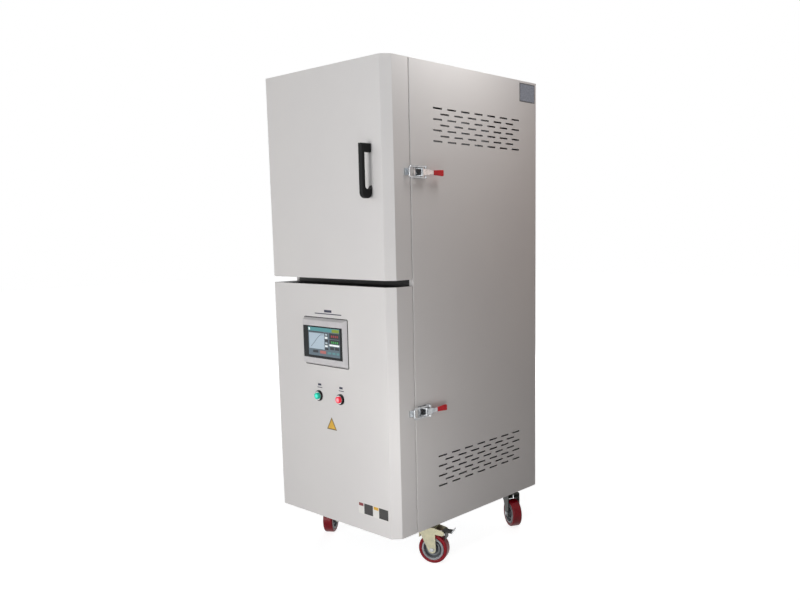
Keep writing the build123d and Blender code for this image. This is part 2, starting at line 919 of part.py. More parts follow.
def make_operator_panel():
    """The bevelled housing of the operator panel and the glass set into its face."""
    face = door_front - panel_rise
    with BuildPart() as housing:
        with BuildSketch(front_plane(door_front)):
            with Locations((panel_centre_x, panel_centre_height)):
                RectangleRounded(panel_width, panel_height, bend_radius)
        extrude(amount=panel_rise, taper=panel_taper)
        with BuildSketch(back_plane(panel_centre_x, door_front, panel_centre_height)):
            Rectangle(panel_housing_width, panel_housing_height)
        extrude(amount=panel_housing_depth)
        with BuildSketch(front_plane(face)):
            with Locations((panel_centre_x, panel_centre_height)):
                Rectangle(glass_width, glass_height)
        extrude(amount=-glass_recess, mode=Mode.SUBTRACT)
    save("panel_housing", housing.part)

    with BuildPart() as glass:
        with BuildSketch(front_plane(face + glass_recess)):
            with Locations((panel_centre_x, panel_centre_height)):
                Rectangle(glass_width, glass_height)
        extrude(amount=glass_thickness)
    save("panel_glass", glass.part)


def make_buttons():
    """Two push buttons: stepped collars with their nuts and contact blocks, and the sliding caps."""
    barrel_end = door_front + button_barrel_length
    steps = [(button_collar_radius, button_collar_rise), (button_ring_radius, button_ring_rise)]
    fixed_pieces = []
    for colour, x in button_places.items():
        with BuildPart() as collar:
            for radius, rise in steps:
                with BuildSketch(front_plane(door_front)):
                    with Locations((x, button_height)):
                        Circle(radius)
                extrude(amount=rise)
            with BuildSketch(back_plane(x, door_front, button_height)):
                Circle(button_barrel_radius)
            extrude(amount=button_barrel_length)
            with BuildSketch(back_plane(x, door_front + sheet, button_height)):
                Circle(button_collar_radius)
            extrude(amount=button_nut_length)
            with BuildSketch(back_plane(x, door_front - button_ring_rise, button_height)):
                Circle(button_cap_radius + running_clearance)
            extrude(amount=button_ring_rise + button_barrel_length, mode=Mode.SUBTRACT)
        with BuildPart() as contact_block:
            with BuildSketch(back_plane(x, barrel_end, button_height)):
                Rectangle(contact_block_width, contact_block_height)
            extrude(amount=contact_block_depth)
        fixed_pieces += [collar.part, contact_block.part]
        with BuildPart() as cap:
            with BuildSketch(back_plane(x, door_front - button_cap_rise, button_height)):
                Circle(button_cap_radius)
            extrude(amount=button_cap_length)
            fillet(cap.edges().sort_by(Axis.Y)[0], radius=button_cap_rounding)
        save(f"{colour}_button_cap", cap.part)
    save("button_collars", *fixed_pieces)


def hinge_leaf(bottom, side):
    """One hinge leaf: side 1 is the cabinet's, with the end barrels, and side -1 the door's."""
    third = hinge_length / 3
    middle_start = third + working_gap
    middle_length = third - 2 * working_gap
    barrels = [(0, third), (2 * third, third)] if side > 0 else [(middle_start, middle_length)]
    spaces = [(third, third)] if side > 0 else [(0, middle_start), (2 * third - working_gap, middle_start)]
    leaf_x = -right - hinge_leaf_thickness / 2
    with BuildPart() as leaf:
        with BuildSketch(Plane.XY.offset(bottom)):
            with Locations((leaf_x, hinge_y + side * hinge_leaf_width / 2)):
                Rectangle(hinge_leaf_thickness, hinge_leaf_width)
        extrude(amount=hinge_length)
        for start, length in spaces:
            with BuildSketch(Plane.XY.offset(bottom + start)):
                with Locations((leaf_x, hinge_y)):
                    Rectangle(2 * hinge_leaf_thickness, 2 * (hinge_offset + working_gap))
            extrude(amount=length, mode=Mode.SUBTRACT)
        for start, length in barrels:
            with BuildSketch(Plane.XY.offset(bottom + start)):
                with Locations((hinge_x, hinge_y)):
                    Circle(hinge_barrel_radius)
            extrude(amount=length)
        with BuildSketch(Plane.XY.offset(bottom)):
            with Locations((hinge_x, hinge_y)):
                Circle(hinge_pin_radius + running_clearance)
        extrude(amount=hinge_length, mode=Mode.SUBTRACT)
    return leaf.part


def hinge_pin(bottom):
    """The pin through the three barrels of one hinge, with a head on top."""
    with BuildPart() as pin:
        with BuildSketch(Plane.XY.offset(bottom)):
            with Locations((hinge_x, hinge_y)):
                Circle(hinge_pin_radius)
        extrude(amount=hinge_length)
        with BuildSketch(Plane.XY.offset(bottom + hinge_length)):
            with Locations((hinge_x, hinge_y)):
                Circle(hinge_pin_head_radius)
        extrude(amount=hinge_pin_head_length)
    return pin.part


def make_hinges():
    """Two hinges to a door: fixed leaves and pins on the cabinet, moving leaves on the doors."""
    every_bottom = hinge_bottoms["upper"] + hinge_bottoms["lower"]
    fixed_leaves = [hinge_leaf(bottom, 1) for bottom in every_bottom]
    save("hinge_brackets", *fixed_leaves, *[hinge_pin(bottom) for bottom in every_bottom])
    for door, bottoms in hinge_bottoms.items():
        save(f"{door}_door_hinge_leaves", *[hinge_leaf(bottom, -1) for bottom in bottoms])


def latch_base():
    """The latch's mounting plate, and the two ears on it with the lever's pivot pin between them."""
    plate_top = right + latch_base_thickness
    with BuildPart() as plate:
        with BuildSketch(Plane.XY.offset(-latch_half_height)):
            with Locations((plate_top, latch_y - latch_base_front)):
                Rectangle(
                    latch_base_thickness,
                    latch_base_front + latch_base_back,
                    align=(Align.MAX, Align.MIN),
                )
        extrude(amount=2 * latch_half_height)
    with BuildPart() as ears:
        with BuildSketch(Plane.XY.offset(ear_inner)):
            with Locations((latch_x, latch_y)):
                Circle(latch_eye_radius)
            with Locations((plate_top + latch_ear_thickness / 2, latch_y)):
                Rectangle(latch_ear_thickness, latch_ear_width)
            make_hull()
        extrude(amount=latch_ear_thickness)
        mirror(about=Plane.XY)
        with BuildSketch():
            with Locations((latch_x, latch_y)):
                Circle(latch_pin_radius)
        extrude(amount=ear_outer, both=True)
    return [plate.part, ears.part]


def latch_lever():
    """The lever: a channel that turns on the pivot pin, a flat tongue and the hook's trunnion."""
    web_x = latch_x + latch_eye_radius - lever_cheek_thickness / 2
    with BuildPart() as lever:
        with BuildSketch(Plane.XY.offset(lever_half_height - lever_cheek_thickness)):
            with Locations((latch_x, latch_y), (hook_x, hook_y)):
                Circle(latch_eye_radius)
            with Locations((web_x, latch_y + lever_channel_length - lever_cheek_thickness / 2)):
                Rectangle(lever_cheek_thickness, lever_cheek_thickness)
            make_hull()
            with Locations((latch_x, latch_y)):
                Circle(latch_pin_radius + running_clearance, mode=Mode.SUBTRACT)
        extrude(amount=lever_cheek_thickness)
        mirror(about=Plane.XY)
        with BuildSketch(Plane.XY.offset(-lever_half_height)):
            with Locations((web_x, latch_y + lever_channel_length / 2)):
                Rectangle(lever_cheek_thickness, lever_channel_length)
        extrude(amount=2 * lever_half_height)
        tongue_length = lever_length - lever_channel_length - lever_tongue_setback
        with BuildSketch(Plane.XY.offset(-lever_strip_half_height)):
            with Locations((web_x, latch_y + lever_channel_length + tongue_length / 2)):
                Rectangle(lever_cheek_thickness, tongue_length)
        extrude(amount=2 * lever_strip_half_height)
        with BuildSketch():
            with Locations((hook_x, hook_y)):
                Circle(latch_pin_radius)
        extrude(amount=latch_half_height, both=True)
    return lever.part


def latch_grip():
    """The dipped grip on the lever's tongue, thicker towards its end."""
    web_x = latch_x + latch_eye_radius - lever_cheek_thickness / 2
    with BuildPart() as grip:
        with BuildSketch(back_plane(web_x, grip_start, 0)):
            RectangleRounded(grip_neck_depth, grip_neck_height, grip_rounding)
        with BuildSketch(back_plane(web_x, lever_end, 0)):
            RectangleRounded(grip_end_depth, grip_end_height, grip_rounding)
        loft()
        fillet(grip.faces().sort_by(Axis.Y)[-1].edges(), radius=grip_rounding)
        with BuildSketch(back_plane(web_x, grip_start, 0)):
            Rectangle(lever_cheek_thickness, 2 * lever_strip_half_height)
        extrude(amount=grip_length - lever_tongue_setback, mode=Mode.SUBTRACT)
    return grip.part


def latch_hook():
    """The hook: a rod bent round the keeper, with an eye at each end on the lever's trunnion."""
    start = hook_y - latch_pin_radius - running_clearance
    high = hook_rod_height
    with BuildPart() as hook:
        with BuildLine():
            FilletPolyline(
                (hook_x, start, high),
                (hook_x, hook_bar_y, high),
                (hook_x, hook_bar_y, -high),
                (hook_x, start, -high),
                radius=hook_bend_radius,
            )
        with BuildSketch(Plane(origin=(hook_x, start, high), z_dir=(0, -1, 0))):
            Circle(hook_rod_radius)
        sweep()
        with BuildSketch(Plane.XY.offset(high - hook_rod_radius + lever_side_gap / 2)):
            with Locations((hook_x, hook_y)):
                Circle(latch_eye_radius)
        extrude(amount=2 * hook_rod_radius - lever_side_gap / 2)
        mirror(about=Plane.XY)
        with BuildSketch():
            with Locations((hook_x, hook_y)):
                Circle(latch_pin_radius + running_clearance)
        extrude(amount=latch_half_height, both=True, mode=Mode.SUBTRACT)
    return hook.part


def latch_keeper():
    """The keeper on a door's side: a foot plate with an upright lip inside the hook's bar."""
    with BuildPart() as keeper:
        with BuildSketch():
            with Locations((right + latch_base_thickness / 2, hook_bar_y)):
                Rectangle(latch_base_thickness, keeper_foot)
            with Locations((right + keeper_lip_rise / 2, hook_bar_y)):
                Rectangle(keeper_lip_rise, keeper_lip_thickness)
        extrude(amount=keeper_half_height, both=True)
    return keeper.part


def make_latches():
    """Two toggle latches that hold the doors shut, each with its keeper on the door."""
    base = latch_base()
    lever = latch_lever()
    grip = latch_grip()
    hook = latch_hook()
    keeper = latch_keeper()
    rises = {door: Location((0, 0, latch_height)) for door, latch_height in latch_heights.items()}
    save("latch_bases", *[piece.moved(rise) for rise in rises.values() for piece in base])
    for door, rise in rises.items():
        save(f"{door}_latch_lever", lever.moved(rise))
        save(f"{door}_latch_grip", grip.moved(rise))
        save(f"{door}_latch_hook", hook.moved(rise))
        save(f"{door}_latch_keeper", keeper.moved(rise))


def caster_plate():
    """A caster's fixed plate with its raceway and the riveted kingpin that the fork turns on."""
    with BuildPart() as plate:
        with BuildSketch(Plane.XY.offset(caster_plate_bottom)):
            RectangleRounded(caster_plate_width, caster_plate_length, caster_plate_corner)
            with GridLocations(caster_bolt_spacing_x, caster_bolt_spacing_y, 2, 2):
                Circle(caster_bolt_radius + running_clearance, mode=Mode.SUBTRACT)
        extrude(amount=caster_plate_thickness)
        with BuildSketch(Plane.XY.offset(raceway_bottom)):
            Circle(raceway_radius)
        extrude(amount=raceway_depth)
        with BuildSketch(Plane.XY.offset(raceway_bottom)):
            Circle(kingpin_radius)
        extrude(amount=crown_bottom - working_gap - raceway_bottom)
        with BuildSketch(Plane.XY.offset(crown_bottom - working_gap)):
            Circle(kingpin_head_radius)
        extrude(amount=-kingpin_head_length)
    return plate.part


def caster_bolts():
    """The four bolts that clamp one caster's plate under the base pan."""
    with BuildPart() as bolts:
        with BuildSketch(Plane.XY.offset(caster_plate_bottom)):
            with GridLocations(caster_bolt_spacing_x, caster_bolt_spacing_y, 2, 2):
                Circle(caster_bolt_radius)
        extrude(amount=base_top - caster_plate_bottom)
        with BuildSketch(Plane.XY.offset(caster_plate_bottom)):
            with GridLocations(caster_bolt_spacing_x, caster_bolt_spacing_y, 2, 2):
                RegularPolygon(caster_bolt_head_radius, 6)
        extrude(amount=-caster_bolt_head_length)
        with BuildSketch(Plane.XY.offset(base_top)):
            with GridLocations(caster_bolt_spacing_x, caster_bolt_spacing_y, 2, 2):
                RegularPolygon(caster_bolt_head_radius, 6)
        extrude(amount=caster_bolt_head_length)
    return bolts.part


def leg_outline(braked):
    """The side view of a fork's leg, with an ear for the brake's pin on the braked casters."""
    with BuildSketch() as outline:
        with Locations((caster_trail, axle_height)):
            Circle(leg_boss_radius)
        with Locations((leg_top_centre, crown_top - leg_top_depth / 2)):
            Rectangle(leg_top_width, leg_top_depth)
        make_hull()
        if braked:
            with BuildSketch() as ear:
                with Locations((brake_pivot_reach, brake_pivot_height)):
                    Circle(brake_ear_radius)
                with Locations((caster_trail, crown_top - leg_top_depth)):
                    Rectangle(leg_top_depth, 2 * leg_top_depth)
                make_hull()
            with Locations((brake_pivot_reach, brake_pivot_height)):
                Circle(brake_pin_radius + running_clearance, mode=Mode.SUBTRACT)
        with Locations((caster_trail, axle_height)):
            Circle(axle_radius + running_clearance, mode=Mode.SUBTRACT)
    return outline.sketch


def caster_fork(braked):
    """A pressed fork: its crown on the kingpin, two legs down to the axle and a web between them."""
    with BuildPart() as fork:
        with BuildSketch(Plane.XY.offset(crown_bottom)):
            Circle(crown_radius)
            with Locations((leg_top_centre, 0)):
                Rectangle(leg_top_width, 2 * leg_outer)
            Circle(kingpin_radius + running_clearance, mode=Mode.SUBTRACT)
        extrude(amount=crown_thickness)
        with BuildSketch(Plane.XY.offset(crown_bottom)):
            with Locations((fork_web_thickness / 2 - leg_top_lead, 0)):
                Rectangle(fork_web_thickness, 2 * leg_inner)
        extrude(amount=-fork_web_depth)
        with BuildSketch(Plane.XZ.offset(leg_inner)):
            add(leg_outline(braked))
        extrude(amount=leg_thickness)
        mirror(about=Plane.XZ)
    return fork.part


def cross_pin(x, z, radius, half_length):
    """A round pin across a fork."""
    with BuildPart() as pin:
        with BuildSketch(Plane.XZ):
            with Locations((x, z)):
                Circle(radius)
        extrude(amount=half_length, both=True)
    return pin.part


def caster_axle():
    """The wheel's axle bolt with its head and its nut outside the fork."""
    with BuildPart() as axle:
        add(cross_pin(caster_trail, axle_height, axle_radius, leg_outer))
        for plane in (Plane.XZ.offset(leg_outer), Plane.XZ.offset(-leg_outer - axle_nut_length)):
            with BuildSketch(plane):
                with Locations((caster_trail, axle_height)):
                    RegularPolygon(axle_nut_radius, 6)
            extrude(amount=axle_nut_length)
    return axle.part


def wheel_plane():
    """The half-section plane of a wheel: across the tread, and out from the axle."""
    return Plane(origin=(caster_trail, 0, axle_height), x_dir=(0, 1, 0), z_dir=(1, 0, 0))


def wheel_hub():
    """A wheel's moulded centre: a bored boss, a thin web and the rim under the tyre."""
    wheel_axis = Axis((caster_trail, 0, axle_height), (0, 1, 0))
    rim_radius = axle_height - tyre_thickness
    bore = axle_radius + running_clearance
    ring_inside = hub_ring_radius - hub_ring_width / 2
    ring_outside = hub_ring_radius + hub_ring_width / 2
    with BuildPart() as hub:
        with BuildSketch(wheel_plane()):
            for half_width, low, high in (
                (leg_inner - working_gap, bore, hub_boss_radius),
                (hub_web / 2, bore, rim_radius),
                (hub_ring_thickness / 2, ring_inside, ring_outside),
                (wheel_width / 2 - working_gap, rim_radius - hub_rim_thickness, rim_radius),
            ):
                with Locations((0, (low + high) / 2)):
                    Rectangle(2 * half_width, high - low)
        revolve(axis=wheel_axis)
    return hub.part


def wheel_tyre():
    """The tyre that is moulded on the rim, with rounded shoulders."""
    wheel_axis = Axis((caster_trail, 0, axle_height), (0, 1, 0))
    with BuildPart() as tyre:
        with BuildSketch(wheel_plane()) as section:
            with Locations((0, axle_height - tyre_thickness / 2)):
                Rectangle(wheel_width, tyre_thickness)
            fillet(section.vertices().group_by(Axis.Z)[-1], radius=tyre_rounding)
        revolve(axis=wheel_axis)
    return tyre.part


def brake_pedal():
    """The brake pedal: a plate on a pin in the fork, with a shoe that swings against the tyre."""
    pivot_x = brake_pivot_reach
    pivot_z = brake_pivot_height
    plate_z = pivot_z + brake_eye_radius - brake_plate_radius
    end_z = plate_z - brake_pedal_drop
    with BuildPart() as pedal:
        with BuildSketch(Plane.XZ):
            with Locations((pivot_x, pivot_z)):
                Circle(brake_eye_radius)
            with BuildSketch():
                with Locations((pivot_x, plate_z), (brake_pedal_reach, end_z)):
                    Circle(brake_plate_radius)
                make_hull()
            with BuildSketch():
                with Locations((brake_pedal_reach, end_z)):
                    Circle(brake_plate_radius)
                with Locations((brake_pedal_reach + brake_lip_lean, end_z + brake_lip_rise)):
                    Circle(brake_plate_radius)
                make_hull()
            with BuildSketch():
                shoe_x = pivot_x + brake_shoe_setback
                with Locations((shoe_x, plate_z), (shoe_x, pivot_z - brake_shoe_drop)):
                    Circle(brake_plate_radius)
                make_hull()
            with Locations((pivot_x, pivot_z)):
                Circle(brake_pin_radius + running_clearance, mode=Mode.SUBTRACT)
        extrude(amount=brake_pedal_half_width, both=True)
    return pedal.part


def make_casters():
    """Four swivel casters; the two at the front have a brake."""
    plate = caster_plate()
    bolts = caster_bolts()
    axle = caster_axle()
    hub = wheel_hub()
    tyre = wheel_tyre()
    pedal = brake_pedal()
    pin = cross_pin(brake_pivot_reach, brake_pivot_height, brake_pin_radius, leg_outer)
    plate_pieces = [plate] + bolts.solids()
    places = [Location((x, y, 0)) for x, y in kingpins.values()]
    save("caster_plates", *[piece.moved(place) for place in places for piece in plate_pieces])
    for corner, (x, y) in kingpins.items():
        braked = corner.startswith("front")
        place = Location((x, y, 0), (0, 0, caster_trail_angles[corner]))
        fork_pieces = [caster_fork(braked), axle] + ([pin] if braked else [])
        save(f"{corner}_fork", *[piece.moved(place) for piece in fork_pieces])
        save(f"{corner}_wheel_hub", hub.moved(place))
        save(f"{corner}_tyre", tyre.moved(place))
        if braked:
            save(f"{corner}_brake_pedal", pedal.moved(place))


make_base_and_deck()
make_side_panels()
make_front_frame()
make_rear_panel()
make_top_cover()
make_furnace_case()
make_insulation()
make_heating_elements()
make_thermocouple()
make_exhaust()
make_component_plate()
make_switchgear()
make_power_regulator()
make_transformer()
make_cable_gland()
make_upper_door()
make_handle()
make_lower_door()
make_operator_panel()
make_buttons()
make_hinges()
make_latches()
make_casters()
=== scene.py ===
"""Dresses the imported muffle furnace: its materials, small fittings, lights, floor and camera.

Everything is in metres, in the CAD model's own frame: the front faces -Y and +X is on the right.
"""
import json
import math

import bmesh
import bpy
from mathutils import Matrix, Vector


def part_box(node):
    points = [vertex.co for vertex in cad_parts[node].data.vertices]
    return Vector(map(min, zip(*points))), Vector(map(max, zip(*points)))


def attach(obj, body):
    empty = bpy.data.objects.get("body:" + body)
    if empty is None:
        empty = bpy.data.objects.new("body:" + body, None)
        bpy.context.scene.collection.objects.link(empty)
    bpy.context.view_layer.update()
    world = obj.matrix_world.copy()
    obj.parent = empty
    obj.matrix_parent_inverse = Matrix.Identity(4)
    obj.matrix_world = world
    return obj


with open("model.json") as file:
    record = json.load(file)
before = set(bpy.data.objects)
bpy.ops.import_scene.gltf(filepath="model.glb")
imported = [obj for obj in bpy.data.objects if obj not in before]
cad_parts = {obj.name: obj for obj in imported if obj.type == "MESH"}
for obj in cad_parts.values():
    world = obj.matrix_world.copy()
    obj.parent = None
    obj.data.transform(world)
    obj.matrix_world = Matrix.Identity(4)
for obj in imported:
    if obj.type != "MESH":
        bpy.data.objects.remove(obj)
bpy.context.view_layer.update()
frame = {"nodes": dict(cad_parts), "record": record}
nodes = frame["nodes"]

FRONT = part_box("lower_door_shell")[0].y
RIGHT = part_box("right_side_panel")[1].x
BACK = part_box("rear_panel")[1].y
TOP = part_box("top_cover")[1].z
JOINTS = {joint["name"]: joint for joint in frame["record"]["behaviour"]["joints"]}

# Directions across, up and out of each face
FRONT_WAYS = ((1, 0, 0), (0, 0, 1), (0, -1, 0))
RIGHT_WAYS = ((0, 1, 0), (0, 0, 1), (1, 0, 0))
BACK_WAYS = ((-1, 0, 0), (0, 0, 1), (0, 1, 0))
LEFT_WAYS = ((0, -1, 0), (0, 0, 1), (-1, 0, 0))
TOP_WAYS = ((1, 0, 0), (0, 1, 0), (0, 0, 1))

# The thickness of print, and the lit screen's size and upper left corner
PRINT = 0.00012
SCREEN_WIDTH = 0.1533
SCREEN_HEIGHT = 0.091
SCREEN_LEFT = -0.0907
SCREEN_TOP = 0.772

# The camera stands where the photographer's did
CAMERA_PLACE = (1.9765, -2.0092, 1.0745)
CAMERA_YAW = 0.7315
CAMERA_PITCH = -0.1455
CAMERA_ROLL = 0.0146
CAMERA_LENS = 36.256
CAMERA_SHIFT = (-0.0583, 0.0602)


def colour(red, green, blue):
    """A display colour of 0 to 255 as the linear colour that a shader takes."""
    parts = [c / 255 for c in (red, green, blue)]
    return tuple(c / 12.92 if c <= 0.04045 else ((c + 0.055) / 1.055) ** 2.4 for c in parts) + (1.0,)


def new_material(name):
    """A fresh material with its node tree and its Principled shader."""
    material = bpy.data.materials.new(name)
    material.use_nodes = True
    tree = material.node_tree
    return material, tree, tree.nodes["Principled BSDF"]


def node(tree, kind, **values):
    """One node with its input sockets set by name."""
    made = tree.nodes.new(kind)
    for key, value in values.items():
        made.inputs[key.replace("_", " ")].default_value = value
    return made


def place(tree, stretch=(1, 1, 1)):
    """Object coordinates, stretched along each axis."""
    source = tree.nodes.new("ShaderNodeTexCoord")
    mapping = tree.nodes.new("ShaderNodeMapping")
    mapping.inputs["Scale"].default_value = stretch
    tree.links.new(source.outputs["Object"], mapping.inputs["Vector"])
    return mapping.outputs["Vector"]


def noise(tree, scale, detail=3.0, roughness=0.55, stretch=(1, 1, 1)):
    """A noise value from 0 to 1; scale is in repeats to the metre."""
    texture = node(tree, "ShaderNodeTexNoise", Scale=scale, Detail=detail, Roughness=roughness)
    tree.links.new(place(tree, stretch), texture.inputs["Vector"])
    return texture.outputs["Fac"]


def spread(tree, value, low, high, start=0.3, end=0.7):
    """Maps a value's range from start to end on to the range from low to high."""
    mapped = tree.nodes.new("ShaderNodeMapRange")
    for key, number in zip(("From Min", "From Max", "To Min", "To Max"), (start, end, low, high)):
        mapped.inputs[key].default_value = number
    tree.links.new(value, mapped.inputs["Value"])
    return mapped.outputs["Result"]


def blend_colours(tree, value, stops):
    """A colour ramp: stops are pairs of place and colour."""
    ramp = tree.nodes.new("ShaderNodeValToRGB")
    band = ramp.color_ramp
    while len(band.elements) < len(stops):
        band.elements.new(0.5)
    for element, (where, shade) in zip(band.elements, stops):
        element.position = where
        element.color = shade
    tree.links.new(value, ramp.inputs["Fac"])
    return ramp.outputs["Color"]


def bump(tree, shader, height, distance, strength=1.0):
    """Raises the surface by height times distance, in metres."""
    made = node(tree, "ShaderNodeBump", Distance=distance, Strength=strength)
    tree.links.new(height, made.inputs["Height"])
    tree.links.new(made.outputs["Normal"], shader.inputs["Normal"])


def surface(name, shade, other=None, rough=(0.4, 0.5), metallic=0.0, grain=900.0, depth=0.00003,
            patch=6.0, stretch=(1, 1, 1), coat=0.0, specular=0.5):
    """A common finish: a colour that varies in patches, uneven gloss and a fine grain."""
    material, tree, shader = new_material(name)
    patches = noise(tree, patch, 4.0, stretch=stretch)
    stops = [(0.3, shade), (0.7, other or shade)]
    tree.links.new(blend_colours(tree, patches, stops), shader.inputs["Base Color"])
    fine = noise(tree, grain, 2.0, stretch=stretch)
    tree.links.new(spread(tree, fine, *rough), shader.inputs["Roughness"])
    shader.inputs["Metallic"].default_value = metallic
    shader.inputs["Coat Weight"].default_value = coat
    shader.inputs["Specular IOR Level"].default_value = specular
    bump(tree, shader, fine, depth)
    return material


def lens(name, cap, middle, edge, radius=0.0115):
    """A translucent colour with a painted glow that is brighter round the middle of a cap's front."""
    low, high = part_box(cap)
    material, tree, shader = new_material(name)
    distance = node(tree, "ShaderNodeVectorMath")
    distance.operation = "DISTANCE"
    tree.links.new(place(tree), distance.inputs[0])
    distance.inputs[1].default_value = ((low.x + high.x) / 2, low.y, (low.z + high.z) / 2)
    # The brighter middle is a painted glow, given as both colour and emission.
    share = spread(tree, distance.outputs["Value"], 0.0, 1.0, 0.0, radius)
    shades = blend_colours(tree, share, [(0.25, middle), (0.85, edge)])
    tree.links.new(shades, shader.inputs["Base Color"])
    tree.links.new(shades, shader.inputs["Emission Color"])
    shader.inputs["Emission Strength"].default_value = 0.5
    shader.inputs["Roughness"].default_value = 0.18
    shader.inputs["Specular IOR Level"].default_value = 0.3
    return material


def make_materials():
    """The finishes by the record's slot names."""
    return {
        "painted_steel": surface("paint", colour(222, 219, 217), colour(218, 215, 214),
                                 (0.42, 0.5), grain=700, depth=0.00004, patch=3),
        "dark_steel": surface("dark_paint", colour(34, 33, 33), colour(42, 41, 40), (0.4, 0.55)),
        "galvanised_steel": surface("galvanised", colour(170, 173, 175), colour(140, 144, 148),
                                    (0.28, 0.45), 1.0, grain=240, patch=60, depth=0.00001),
        "ceramic_fibre": surface("ceramic_fibre", colour(240, 236, 226), colour(226, 219, 204),
                                 (0.85, 0.95), grain=500, depth=0.0006, patch=25, stretch=(1, 1, 3)),
        "dense_ceramic": surface("dense_ceramic", colour(226, 218, 200), colour(210, 198, 176),
                                 (0.7, 0.85), grain=800, depth=0.0003, patch=30),
        "element_wire": surface("element_wire", colour(82, 74, 68), colour(56, 50, 47),
                                (0.6, 0.75), 0.6, grain=900, depth=0.0001, patch=40),
        "stainless": surface("stainless", colour(176, 176, 175), colour(160, 160, 160),
                             (0.25, 0.4), 1.0, grain=900, stretch=(1, 1, 0.03), depth=0.00001),
        "zinc_plated": surface("zinc_plated", colour(186, 188, 190), colour(150, 153, 156),
                               (0.2, 0.34), 1.0, grain=700, patch=80, depth=0.00002),
        "passivated_steel": surface("passivated", colour(184, 178, 150), colour(160, 158, 138),
                                    (0.28, 0.42), 1.0, grain=500, patch=70, depth=0.00002),
        "tread": surface("tread", colour(142, 3, 24), colour(116, 2, 18), (0.24, 0.36),
                         grain=400, patch=40, depth=0.00005, specular=0.22),
        "wheel_plastic": surface("wheel_plastic", colour(116, 118, 122), colour(98, 100, 104),
                                 (0.4, 0.55), grain=600, patch=50),
        "black_plastic": surface("black_plastic", colour(12, 12, 13), colour(18, 18, 19),
                                 (0.45, 0.58), grain=1100, depth=0.00006, patch=40, specular=0.15),
        "panel_plastic": surface("panel_plastic", colour(212, 209, 210), colour(204, 201, 203),
                                 (0.32, 0.42), 0.0, grain=1200, patch=30),
        "panel_glass": surface("panel_glass", colour(16, 20, 22), colour(20, 24, 27), (0.1, 0.16),
                               grain=30, depth=0.0, specular=0.25),
        # The button caps carry a painted glow, brighter in the middle than at the edge.
        "green_lens": lens("green_cap", "green_button_cap", colour(70, 235, 208), colour(0, 150, 126)),
        "red_lens": lens("red_cap", "red_button_cap", colour(255, 150, 160), colour(200, 12, 40)),
        "red_vinyl": surface("red_vinyl", colour(206, 6, 26), colour(186, 4, 20), (0.3, 0.4),
                             grain=300, depth=0.00006, specular=0.3, patch=90),
        "electrical_plastic": surface("electrical_plastic", colour(206, 206, 200), colour(196, 196, 190),
                                      (0.5, 0.6), grain=900, patch=30),
        "aluminium": surface("aluminium", colour(188, 190, 192), colour(172, 174, 177),
                             (0.3, 0.42), 1.0, grain=900, stretch=(1, 1, 0.05), depth=0.00002),
        "transformer_steel": surface("transformer_steel", colour(96, 72, 48), colour(70, 56, 44),
                                     (0.4, 0.6), 0.3, grain=700, patch=40, depth=0.0001),
        "seal_rope": surface("seal_rope", colour(232, 228, 216), colour(206, 200, 184),
                             (0.85, 0.95), grain=450, depth=0.0005, patch=120),
    }


def dress_nodes():
    """Gives every CAD node the finish of its slot."""
    for subpart in frame["record"]["subparts"]:
        mesh = nodes[subpart["node"]].data
        mesh.materials.clear()
        mesh.materials.append(materials[subpart["material_slot"]])


def recolour(name, material, chosen):
    """Gives a second finish to the faces of a node whose centre is chosen."""
    mesh = nodes[name].data
    mesh.materials.append(material)
    for face in mesh.polygons:
        if chosen(face.center):
            face.material_index = len(mesh.materials) - 1


def shade_slot_walls(name, material, border=0.02):
    """Paints shade on the cut edges of a side sheet's slots, but not on the sheet's own border."""
    mesh = nodes[name].data
    low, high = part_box(name)
    mesh.materials.append(material)
    for face in mesh.polygons:
        centre = face.center
        in_depth = low.y + border < centre.y < high.y - border
        in_height = low.z + border < centre.z < high.z - border
        if in_depth and in_height and abs(face.normal.x) < 0.5:
            face.material_index = len(mesh.materials) - 1


def dress_bezels(lip=0.0046):
    """Bright metal on the front lips of the button collars."""
    bezel = surface("bezel", colour(225, 225, 226), colour(212, 212, 214), (0.12, 0.22), 1.0)
    recolour("button_collars", bezel, lambda point: point.y < FRONT - lip)


def glowing(name, shade, strength, rough=0.3):
    """A lit colour of the display."""
    material, tree, shader = new_material(name)
    tint = noise(tree, 900, 1.0)
    dim = tuple(0.86 * part for part in shade[:3]) + (1.0,)
    tree.links.new(blend_colours(tree, tint, [(0.3, dim), (0.7, shade)]), shader.inputs["Base Color"])
    shader.inputs["Emission Color"].default_value = shade
    shader.inputs["Emission Strength"].default_value = strength
    shader.inputs["Roughness"].default_value = rough
    return material


def face_frame(corner, across, up, out):
    """The matrix that lays a flat piece on a face, by its directions across, up and out."""
    return Matrix.Translation(corner) @ Matrix((across, up, out)).transposed().to_4x4()


def rectangle(across, up, width, height):
    """The corners of a rectangle about its middle, counter-clockwise."""
    half_width, half_height = width / 2, height / 2
    signs = ((-1, -1), (1, -1), (1, 1), (-1, 1))
    return [(across + a * half_width, up + b * half_height) for a, b in signs]


def rounded(across, up, width, height, radius, steps=5):
    """A rectangle with rounded corners."""
    points = []
    for turn, (a, b) in enumerate(((1, 1), (-1, 1), (-1, -1), (1, -1))):
        middle = Vector((across + a * (width / 2 - radius), up + b * (height / 2 - radius)))
        for step in range(steps + 1):
            angle = math.pi / 2 * (turn + step / steps)
            points.append((middle.x + radius * math.cos(angle), middle.y + radius * math.sin(angle)))
    return points


def finish_piece(name, shape, body, material):
    """Turns a bmesh into a named piece that rides on its body."""
    bmesh.ops.recalc_face_normals(shape, faces=shape.faces)
    mesh = bpy.data.meshes.new(name)
    shape.to_mesh(mesh)
    shape.free()
    mesh.materials.append(material)
    piece = bpy.data.objects.new(name, mesh)
    bpy.context.scene.collection.objects.link(piece)
    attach(piece, body)
    return piece


